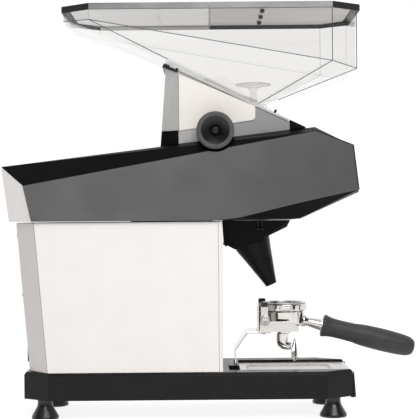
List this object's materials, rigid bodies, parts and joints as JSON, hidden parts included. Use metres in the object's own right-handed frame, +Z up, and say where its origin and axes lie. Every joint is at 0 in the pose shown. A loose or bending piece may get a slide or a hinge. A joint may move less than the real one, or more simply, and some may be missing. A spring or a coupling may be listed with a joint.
{
  "type": "burr coffee grinder",
  "caption": "Bench coffee grinder with a clear bean hopper, tilted flat burrs, a spout over a portafilter held in a fork, and a grounds tray.",
  "frame": {"origin": "middle of the footprint box of the whole grinder, on the surface it stands on", "axes": "+X towards the operator and the portafilter handle, +Y to the operator's right, +Z up"},
  "size_m": [0.6129, 0.196, 0.601],
  "materials": {
    "base_black": "semi-gloss black powder coat",
    "zinc_steel": "zinc plated sheet",
    "brushed_tray": "satin stainless sheet",
    "white_panel": "smooth white powder coat",
    "grey_panel": "satin dark grey metallic paint",
    "head_black": "satin black",
    "black_plastic": "moulded black",
    "circuit_board": "solder mask green",
    "display_glass": "black backed glass",
    "button_steel": "satin button cap",
    "neck_grey": "fine textured metallic grey",
    "cream_plate": "satin warm white",
    "cast_aluminium": "bead blasted",
    "tool_steel": "ground steel",
    "brass": "machined",
    "knob_black": "satin moulded",
    "clear_hopper": "clear polished plastic",
    "lid_black": "dark moulded lid",
    "chrome": "polished",
    "turned_steel": "turned stainless",
    "grip_rubber": "soft touch grip",
    "foot_rubber": "moulded rubber"
  },
  "bodies": {
    "frame": {"base_frame": "base_black", "base_plate": "zinc_steel", "base_front_fascia": "base_black", "column_panel_left": "white_panel", "column_panel_right": "white_panel", "column_front_cover": "white_panel", "column_rear_cover": "white_panel", "chassis_frame": "zinc_steel", "mains_inlet": "black_plastic", "control_board": "circuit_board", "head_shell": "head_black", "head_rear_cover": "white_panel", "head_panel_left": "grey_panel", "head_panel_right": "grey_panel", "head_front_panel": "white_panel", "display_lens": "display_glass", "neck_housing": "neck_grey", "neck_rear_foot": "head_black", "neck_front_tip": "head_black", "cheek_plate_left": "cream_plate", "cheek_plate_right": "cream_plate", "hopper_seat": "cast_aluminium", "grind_chamber": "cast_aluminium", "exit_chute": "black_plastic", "motor_housing": "cast_aluminium", "spout_housing": "head_black", "grounds_funnel": "black_plastic", "fork_bracket": "chrome", "fork": "chrome"},
    "foot_rear_left": {"foot_rear_left": "foot_rubber"},
    "foot_rear_right": {"foot_rear_right": "foot_rubber"},
    "foot_front_left": {"foot_front_left": "foot_rubber"},
    "foot_front_right": {"foot_front_right": "foot_rubber"},
    "tray": {"grounds_tray": "brushed_tray"},
    "rotor": {"rotor_shaft": "tool_steel", "cooling_fan": "black_plastic", "lower_burr_carrier": "brass", "lower_burr": "tool_steel"},
    "adjust_ring": {"adjust_ring": "brass", "upper_burr": "tool_steel", "upper_burr_carrier": "cast_aluminium"},
    "grind_knob": {"adjust_knob": "knob_black", "worm_shaft": "tool_steel"},
    "hopper": {"hopper": "clear_hopper", "finger_guard": "clear_hopper", "lid_rear": "lid_black"},
    "lid_flap": {"lid_front": "lid_black"},
    "gate": {"hopper_gate": "black_plastic"},
    "portafilter": {"portafilter_body": "chrome", "filter_basket": "turned_steel", "portafilter_spout": "chrome", "portafilter_handle": "grip_rubber"},
    "hook_left": {"hook_left": "chrome"},
    "hook_right": {"hook_right": "chrome"},
    "thumbscrew_left": {"thumbscrew_left": "turned_steel"},
    "thumbscrew_right": {"thumbscrew_right": "turned_steel"},
    "button_single": {"button_single": "button_steel"},
    "button_double": {"button_double": "button_steel"},
    "button_menu": {"button_menu": "button_steel"},
    "power_switch": {"power_switch": "black_plastic"}
  },
  "joints": [
    {"name": "foot_rear_left_turn", "type": "hinge", "parent": "frame", "child": "foot_rear_left", "pos_m": [-0.24529, -0.06, 0.02], "axis": [0, 0, 1], "range_deg": [-180, 180]},
    {"name": "foot_rear_right_turn", "type": "hinge", "parent": "frame", "child": "foot_rear_right", "pos_m": [-0.24529, 0.06, 0.02], "axis": [0, 0, 1], "range_deg": [-180, 180]},
    {"name": "foot_front_left_turn", "type": "hinge", "parent": "frame", "child": "foot_front_left", "pos_m": [0.17591, -0.06, 0.02], "axis": [0, 0, 1], "range_deg": [-180, 180]},
    {"name": "foot_front_right_turn", "type": "hinge", "parent": "frame", "child": "foot_front_right", "pos_m": [0.17591, 0.06, 0.02], "axis": [0, 0, 1], "range_deg": [-180, 180]},
    {"name": "tray_pull", "type": "slide", "parent": "frame", "child": "tray", "axis": [1, 0, 0], "range_m": [0, 0.12]},
    {"name": "rotor_spin", "type": "hinge", "parent": "frame", "child": "rotor", "pos_m": [0.03551, 0, 0.3703], "axis": [0.7071, 0, 0.7071], "continuous": true},
    {"name": "knob_turn", "type": "hinge", "parent": "frame", "child": "grind_knob", "pos_m": [0.00671, -0.08, 0.4175], "axis": [0, 1, 0], "range_deg": [-1080, 1080]},
    {"name": "ring_turn", "type": "hinge", "parent": "frame", "child": "adjust_ring", "pos_m": [0.03551, 0, 0.3703], "axis": [0.7071, 0, 0.7071], "range_deg": [-37, 37]},
    {"name": "hopper_lift", "type": "slide", "parent": "frame", "child": "hopper", "axis": [0.4254, 0, 0.905], "range_m": [0, 0.1]},
    {"name": "lid_open", "type": "hinge", "parent": "hopper", "child": "lid_flap", "pos_m": [-0.00009, 0, 0.601], "axis": [0, -1, 0], "range_deg": [0, 110]},
    {"name": "gate_pull", "type": "slide", "parent": "hopper", "child": "gate", "axis": [0.905, 0, -0.4254], "range_m": [0, 0.04]},
    {"name": "portafilter_pull", "type": "slide", "parent": "frame", "child": "portafilter", "axis": [1, 0, 0], "range_m": [0, 0.16]},
    {"name": "hook_left_set", "type": "slide", "parent": "frame", "child": "hook_left", "axis": [0, 0, 1], "range_m": [-0.003, 0.003]},
    {"name": "thumbscrew_left_turn", "type": "hinge", "parent": "frame", "child": "thumbscrew_left", "pos_m": [0.07821, -0.047, 0.139], "axis": [0, 1, 0], "continuous": true},
    {"name": "hook_right_set", "type": "slide", "parent": "frame", "child": "hook_right", "axis": [0, 0, 1], "range_m": [-0.003, 0.003]},
    {"name": "thumbscrew_right_turn", "type": "hinge", "parent": "frame", "child": "thumbscrew_right", "pos_m": [0.07821, 0.047, 0.139], "axis": [0, 1, 0], "continuous": true},
    {"name": "button_single_press", "type": "slide", "parent": "frame", "child": "button_single", "axis": [-0.9885, 0, -0.1509], "range_m": [0, 0.0012], "stiffness_N_per_m": 400},
    {"name": "button_double_press", "type": "slide", "parent": "frame", "child": "button_double", "axis": [-0.9885, 0, -0.1509], "range_m": [0, 0.0012], "stiffness_N_per_m": 400},
    {"name": "button_menu_press", "type": "slide", "parent": "frame", "child": "button_menu", "axis": [-0.9885, 0, -0.1509], "range_m": [0, 0.0012], "stiffness_N_per_m": 400},
    {"name": "power_switch_tilt", "type": "hinge", "parent": "frame", "child": "power_switch", "pos_m": [-0.26834, 0.021, 0.097], "axis": [0, 1, 0], "range_deg": [0, 16]}
  ],
  "couplings": [
    {"joint": "ring_turn", "follows": "knob_turn", "ratio": -0.033333}
  ]
}
